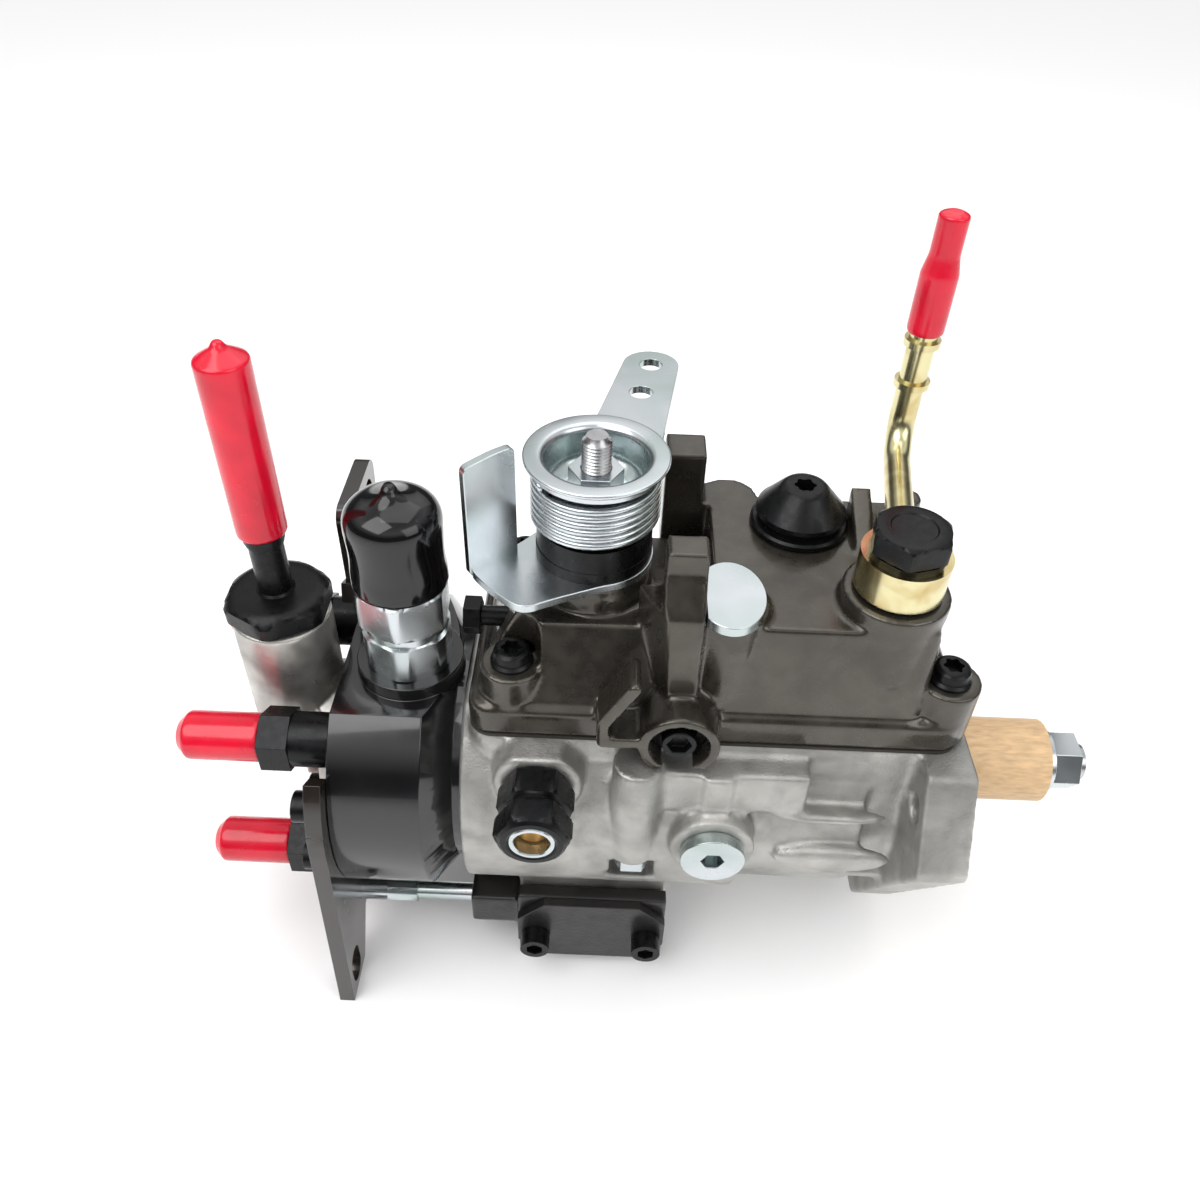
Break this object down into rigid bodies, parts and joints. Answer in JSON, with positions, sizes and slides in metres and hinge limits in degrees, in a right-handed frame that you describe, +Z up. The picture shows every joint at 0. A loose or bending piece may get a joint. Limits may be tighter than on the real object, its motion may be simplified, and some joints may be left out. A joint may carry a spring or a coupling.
{
  "type": "diesel injection pump",
  "caption": "Rotary diesel injection pump with flange, keyed drive shaft, internal cam, hydraulic head, governor cover, throttle lever, stop solenoid and speed advance unit.",
  "frame": {"origin": "on the drive axis, in the mounting face of the flange, at the root of the locating pilot", "axes": "+X along the drive shaft out of the flange, towards the engine gear; +Z up, towards the governor cover; +Y to the side away from the inlet adaptor and timing plug"},
  "size_m": [0.2854, 0.1197, 0.2335],
  "materials": {
    "cast_housing": "rough sand-cast aluminium, light grey-brown",
    "head_black": "gloss black",
    "bracket_bronze": "dark bronze, glossy",
    "cover_casting": "die-cast, bronze-brown chromate, glossy",
    "inlet_casting": "die-cast aluminium, satin",
    "zinc": "bright zinc plate",
    "yellow_zinc": "yellow passivated zinc plate",
    "black_steel": "black oxide",
    "bare_steel": "ground steel",
    "black_iron": "rough black cast iron",
    "red_vinyl": "soft red vinyl, glossy",
    "black_vinyl": "soft black vinyl, glossy",
    "bearing_bronze": "bearing bronze",
    "seal_rubber": "nitrile rubber",
    "gasket_paper": "gasket sheet",
    "cardboard": "brown card and tape"
  },
  "bodies": {
    "pump": {"pump_housing": "cast_housing", "shaft_bush": "bearing_bronze", "shaft_seal": "seal_rubber", "transfer_liner": "bare_steel", "hydraulic_head": "head_black", "delivery_holders": "black_steel", "delivery_valves": "bare_steel", "delivery_caps": "red_vinyl", "rear_bracket": "bracket_bronze", "support_rod": "zinc", "inlet_housing": "inlet_casting", "inlet_connector": "black_steel", "inlet_cap": "red_vinyl", "solenoid_body": "zinc", "solenoid_cap": "black_vinyl", "governor_cover": "cover_casting", "cover_gasket": "gasket_paper", "cover_screws": "black_steel", "cover_plug": "black_steel", "blanking_disc": "zinc", "lock_screw": "black_steel", "leak_off_pipe": "yellow_zinc", "banjo_bolt": "black_steel", "leak_off_cap": "red_vinyl", "stop_screws": "black_steel", "advance_housing": "black_iron", "advance_covers": "black_iron", "socket_screws": "black_steel", "advance_spring": "bare_steel", "side_adaptor": "black_steel", "timing_plug": "zinc", "gallery_plug": "zinc"},
    "drive": {"drive_shaft": "bare_steel", "shaft_key": "bare_steel", "shaft_nut": "zinc", "shaft_sleeve": "cardboard", "distributor_rotor": "bare_steel", "governor_cage": "bare_steel"},
    "front_plunger": {"plunger_front": "bare_steel"},
    "rear_plunger": {"plunger_rear": "bare_steel"},
    "front_roller": {"roller_front": "bare_steel"},
    "rear_roller": {"roller_rear": "bare_steel"},
    "governor_thrust_sleeve": {"governor_sleeve": "bare_steel"},
    "weight_1": {"governor_weight_1": "bare_steel"},
    "weight_2": {"governor_weight_2": "bare_steel"},
    "weight_3": {"governor_weight_3": "bare_steel"},
    "weight_4": {"governor_weight_4": "bare_steel"},
    "governor_lever": {"governor_arm": "zinc"},
    "hook_link": {"governor_link": "zinc"},
    "metering": {"metering_valve": "bare_steel"},
    "cam": {"cam_ring": "bare_steel"},
    "advance": {"advance_piston": "bare_steel"},
    "throttle": {"throttle_shaft": "bare_steel", "stop_plate": "zinc", "throttle_collar": "black_steel", "throttle_nut": "zinc"},
    "throttle_arm": {"throttle_lever": "zinc", "throttle_cup": "zinc", "throttle_spring": "zinc"},
    "stop_solenoid": {"solenoid_plunger": "bare_steel"}
  },
  "joints": [
    {"name": "drive_spin", "type": "hinge", "parent": "pump", "child": "drive", "pos_m": [0, 0, 0], "axis": [1, 0, 0], "continuous": true},
    {"name": "front_plunger_stroke", "type": "slide", "parent": "drive", "child": "front_plunger", "axis": [0, 1, 0], "range_m": [0, 0.0025]},
    {"name": "rear_plunger_stroke", "type": "slide", "parent": "drive", "child": "rear_plunger", "axis": [0, -1, 0], "range_m": [0, 0.0025]},
    {"name": "front_roller_spin", "type": "hinge", "parent": "front_plunger", "child": "front_roller", "pos_m": [-0.1065, -0.02045, 0], "axis": [1, 0, 0], "continuous": true},
    {"name": "rear_roller_spin", "type": "hinge", "parent": "rear_plunger", "child": "rear_roller", "pos_m": [-0.1065, 0.02045, 0], "axis": [1, 0, 0], "continuous": true},
    {"name": "governor_sleeve_travel", "type": "slide", "parent": "drive", "child": "governor_thrust_sleeve", "axis": [1, 0, 0], "range_m": [0, 0.0024]},
    {"name": "weight_1_swing", "type": "hinge", "parent": "drive", "child": "weight_1", "pos_m": [-0.077, 0.01697, 0.01697], "axis": [0, -0.7071, 0.7071], "range_deg": [0, 15]},
    {"name": "weight_2_swing", "type": "hinge", "parent": "drive", "child": "weight_2", "pos_m": [-0.077, -0.01697, 0.01697], "axis": [0, -0.7071, -0.7071], "range_deg": [0, 15]},
    {"name": "weight_3_swing", "type": "hinge", "parent": "drive", "child": "weight_3", "pos_m": [-0.077, -0.01697, -0.01697], "axis": [0, 0.7071, -0.7071], "range_deg": [0, 15]},
    {"name": "weight_4_swing", "type": "hinge", "parent": "drive", "child": "weight_4", "pos_m": [-0.077, 0.01697, -0.01697], "axis": [0, 0.7071, 0.7071], "range_deg": [0, 15]},
    {"name": "governor_arm_rock", "type": "hinge", "parent": "pump", "child": "governor_lever", "pos_m": [-0.0604, 0, 0.034], "axis": [0, -1, 0], "range_deg": [0, 6]},
    {"name": "hook_link_travel", "type": "slide", "parent": "pump", "child": "hook_link", "axis": [-1, 0, 0], "range_m": [0, 0.0021]},
    {"name": "metering_valve_turn", "type": "hinge", "parent": "pump", "child": "metering", "pos_m": [-0.128, 0, 0.04], "axis": [0, 0, 1], "range_deg": [0, 13]},
    {"name": "cam_ring_swing", "type": "hinge", "parent": "pump", "child": "cam", "pos_m": [-0.1065, 0, 0], "axis": [1, 0, 0], "range_deg": [-4, 4]},
    {"name": "advance_piston_stroke", "type": "slide", "parent": "pump", "child": "advance", "axis": [0, 1, 0], "range_m": [-0.0038, 0.0038], "deforming": ["advance_spring"]},
    {"name": "throttle_turn", "type": "hinge", "parent": "pump", "child": "throttle", "pos_m": [-0.11, -0.001, 0.08], "axis": [0, 0, 1], "range_deg": [-25, 15], "stiffness_Nm_per_rad": 0.15},
    {"name": "throttle_lever_breakaway", "type": "hinge", "parent": "throttle", "child": "throttle_arm", "pos_m": [-0.11, -0.001, 0.11], "axis": [0, 0, 1], "range_deg": [0, 20], "stiffness_Nm_per_rad": 0.6},
    {"name": "solenoid_plunger_lift", "type": "slide", "parent": "pump", "child": "stop_solenoid", "axis": [0, 0, 1], "range_m": [0, 0.0015]}
  ],
  "couplings": [
    {"joint": "weight_1_swing", "follows": "governor_sleeve_travel", "rad_per_m": 105.26},
    {"joint": "weight_2_swing", "follows": "governor_sleeve_travel", "rad_per_m": 105.26},
    {"joint": "weight_3_swing", "follows": "governor_sleeve_travel", "rad_per_m": 105.26},
    {"joint": "weight_4_swing", "follows": "governor_sleeve_travel", "rad_per_m": 105.26},
    {"joint": "governor_arm_rock", "follows": "governor_sleeve_travel", "rad_per_m": 40.816},
    {"joint": "hook_link_travel", "follows": "governor_sleeve_travel", "ratio": 0.8163},
    {"joint": "metering_valve_turn", "follows": "governor_sleeve_travel", "rad_per_m": 90.7},
    {"joint": "rear_plunger_stroke", "follows": "front_plunger_stroke", "ratio": 1},
    {"joint": "advance_piston_stroke", "follows": "cam_ring_swing", "m_per_rad": 0.054}
  ]
}
